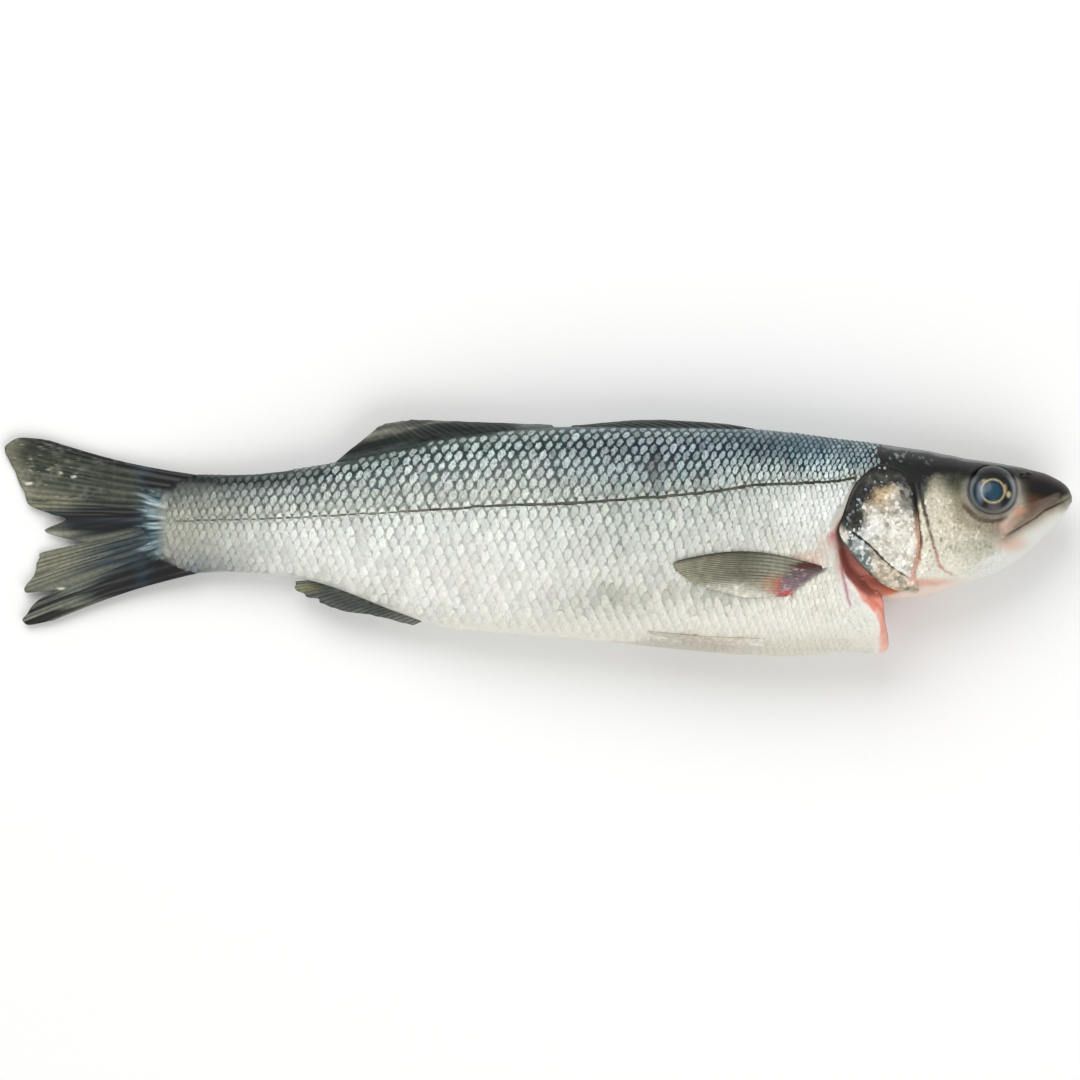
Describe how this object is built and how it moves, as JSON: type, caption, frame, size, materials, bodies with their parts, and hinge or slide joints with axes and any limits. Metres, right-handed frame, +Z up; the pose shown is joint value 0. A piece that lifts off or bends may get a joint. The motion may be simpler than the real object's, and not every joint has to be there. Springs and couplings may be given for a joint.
{
  "type": "gutted sea bass",
  "caption": "Whole raw sea bass, gutted and with its gills out, lying on its side with fins folded, silver flank and dark scaled back.",
  "frame": {"origin": "on the surface that the fish lies on, under the middle of its bounding box", "axes": "+X from the tail towards the snout, +Y from the belly towards the back, +Z up, out of the fish's right side"},
  "size_m": [0.3992, 0.0888, 0.0461],
  "materials": {
    "silver_skin": "wet silver fish skin, dark along the back and cream on the belly",
    "scales": "thin overlapping silver scales with dark edges on the back",
    "gill_cover_skin": "bare bony skin, silver and gold, with fine scales",
    "eye": "clear wet cornea over a dark iris and a thin gold ring",
    "dark_fin": "thin dark olive-grey fin skin over fine rays",
    "olive_fin": "thin olive-brown fin skin over fine rays",
    "pale_fin": "thin cream fin skin over fine rays",
    "raw_flesh": "wet raw flesh and the blood-red lining of the gill opening"
  },
  "bodies": {
    "root": {"body": "silver_skin", "gill_cover_right": "gill_cover_skin", "gill_cover_left": "gill_cover_skin", "eye_right": "eye", "eye_left": "eye", "spiny_dorsal_fin": "dark_fin", "soft_dorsal_fin": "dark_fin", "anal_fin": "dark_fin", "tail_fin": "dark_fin", "pectoral_fin_right": "olive_fin", "pectoral_fin_left": "olive_fin", "pelvic_fin_right": "pale_fin", "pelvic_fin_left": "pale_fin"}
  },
  "joints": []
}
